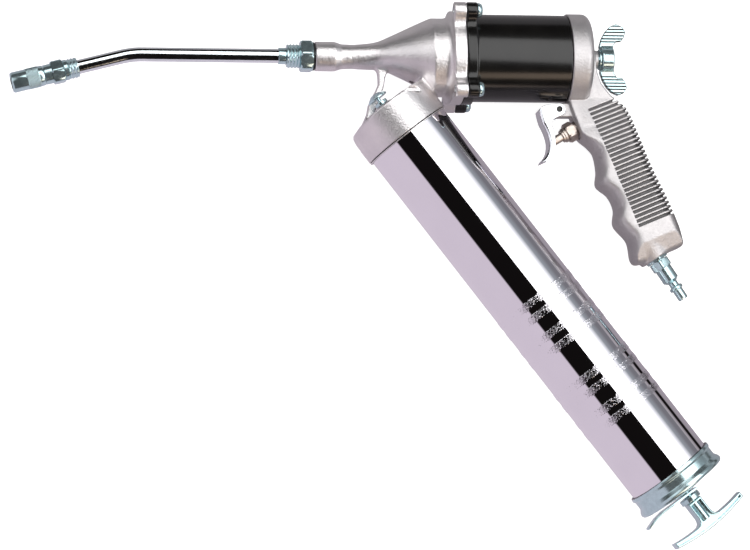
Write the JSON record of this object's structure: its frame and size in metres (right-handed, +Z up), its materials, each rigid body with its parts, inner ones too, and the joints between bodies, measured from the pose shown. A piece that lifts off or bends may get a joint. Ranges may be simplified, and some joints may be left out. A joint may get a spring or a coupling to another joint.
{
  "type": "air-operated grease gun",
  "caption": "Pistol-grip air grease gun: cast pump head and handle, black air cylinder, chrome grease barrel with T-handle follower rod, bent delivery tube and jaw coupler.",
  "frame": {"origin": "under the middle of the whole gun's box, on the surface it lies on", "axes": "+X runs along the air motor from the delivery tube towards the back of the handle, +Y is the gun's up, +Z is up from the surface that the gun lies on, on its right side"},
  "size_m": [0.466, 0.3484, 0.0632],
  "materials": {
    "cast_aluminium": "bead-blasted die casting, satin",
    "chrome_plate": "mirror chrome plate on steel tube",
    "trigger_chrome": "chrome plate on stamped steel",
    "zinc_plate": "bright zinc plate, turned",
    "nickel_plate": "nickel plate, satin",
    "tool_steel": "hardened and oiled",
    "black_enamel": "gloss black enamel",
    "black_rubber": "nitrile rubber, matt"
  },
  "bodies": {
    "gun": {"pump_head": "cast_aluminium", "outlet_adapter": "zinc_plate", "outlet_o_ring": "black_rubber", "tube_collar": "zinc_plate", "delivery_tube": "chrome_plate", "tube_nut": "zinc_plate", "coupler_body": "zinc_plate", "coupler_spring": "tool_steel", "check_spring": "tool_steel", "plunger_packing": "black_rubber", "head_gasket": "black_rubber", "motor_cylinder": "black_enamel", "flange_screw_1": "zinc_plate", "flange_screw_2": "zinc_plate", "flange_screw_3": "zinc_plate", "flange_screw_4": "zinc_plate", "piston_spring": "tool_steel", "rear_seal": "black_rubber", "handle": "cast_aluminium", "trigger_pin": "tool_steel", "valve_nut": "nickel_plate", "valve_spring": "tool_steel", "inlet_bushing": "zinc_plate", "air_plug": "zinc_plate", "reservoir_barrel": "chrome_plate", "barrel_gasket": "black_rubber", "bleeder_body": "zinc_plate", "end_cap": "zinc_plate", "rod_collar": "zinc_plate", "rod_lock_spring": "tool_steel", "follower_spring": "tool_steel"},
    "coupler_sleeve": {"coupler_sleeve": "zinc_plate"},
    "coupler_jaws": {"coupler_jaw_1": "tool_steel", "coupler_jaw_2": "tool_steel", "coupler_jaw_3": "tool_steel", "coupler_jaw_4": "tool_steel", "coupler_seal": "black_rubber"},
    "check_ball": {"check_ball": "tool_steel"},
    "air_piston": {"air_piston": "cast_aluminium", "piston_seal": "black_rubber", "pump_plunger": "chrome_plate"},
    "trigger": {"trigger": "trigger_chrome"},
    "air_valve": {"valve_stem": "nickel_plate", "valve_seal": "black_rubber"},
    "wing_screw": {"wing_screw": "zinc_plate"},
    "bleeder_button": {"bleeder_button": "zinc_plate"},
    "rod_lock": {"rod_lock": "zinc_plate"},
    "follower": {"follower_rod": "zinc_plate", "follower_nut": "zinc_plate", "follower_plate_front": "zinc_plate", "follower_cup": "black_rubber", "follower_plate_rear": "zinc_plate", "t_handle": "zinc_plate"}
  },
  "joints": [
    {"name": "trigger_hinge", "type": "hinge", "parent": "gun", "child": "trigger", "pos_m": [0.11963, 0.1097, 0.0316], "axis": [0, 0, 1], "range_deg": [0, 12], "stiffness_Nm_per_rad": 0.5, "springref_deg": -11.46},
    {"name": "valve_slide", "type": "slide", "parent": "gun", "child": "air_valve", "axis": [0.866, 0.5, 0], "range_m": [0, 0.0036], "deforming": ["valve_spring"]},
    {"name": "piston_slide", "type": "slide", "parent": "gun", "child": "air_piston", "axis": [-1, 0, 0], "range_m": [0, 0.02], "stiffness_N_per_m": 1200, "springref_m": -0.008, "deforming": ["piston_spring"]},
    {"name": "check_ball_lift", "type": "slide", "parent": "gun", "child": "check_ball", "axis": [-1, 0, 0], "range_m": [0, 0.0015], "stiffness_N_per_m": 100, "springref_m": -0.001, "deforming": ["check_spring"]},
    {"name": "rod_slide", "type": "slide", "parent": "gun", "child": "follower", "axis": [0.6046, -0.7965, 0], "range_m": [0, 0.22], "deforming": ["follower_spring"]},
    {"name": "rod_lock_tilt", "type": "hinge", "parent": "gun", "child": "rod_lock", "pos_m": [0.20326, -0.1349, 0.0316], "axis": [0, 0, -1], "range_deg": [0, 2.5], "stiffness_Nm_per_rad": 0.3, "springref_deg": -3.44, "deforming": ["rod_lock_spring"]},
    {"name": "wing_screw_turn", "type": "hinge", "parent": "gun", "child": "wing_screw", "pos_m": [0.15223, 0.14389, 0.0316], "axis": [1, 0, 0], "continuous": true},
    {"name": "bleeder_press", "type": "slide", "parent": "gun", "child": "bleeder_button", "axis": [0.6046, -0.7965, 0], "range_m": [0, 0.0018], "stiffness_N_per_m": 300, "springref_m": -0.002},
    {"name": "jaw_retreat", "type": "slide", "parent": "gun", "child": "coupler_jaws", "axis": [0.9686, 0.2487, 0], "range_m": [0, 0.0015], "stiffness_N_per_m": 800, "springref_m": -0.001, "deforming": ["coupler_spring"]},
    {"name": "coupler_sleeve_turn", "type": "hinge", "parent": "gun", "child": "coupler_sleeve", "pos_m": [-0.2195, 0.12748, 0.0316], "axis": [-0.9686, -0.2487, 0], "range_deg": [-90, 90]}
  ],
  "couplings": [
    {"joint": "valve_slide", "follows": "trigger_hinge", "m_per_rad": 0.0162}
  ]
}
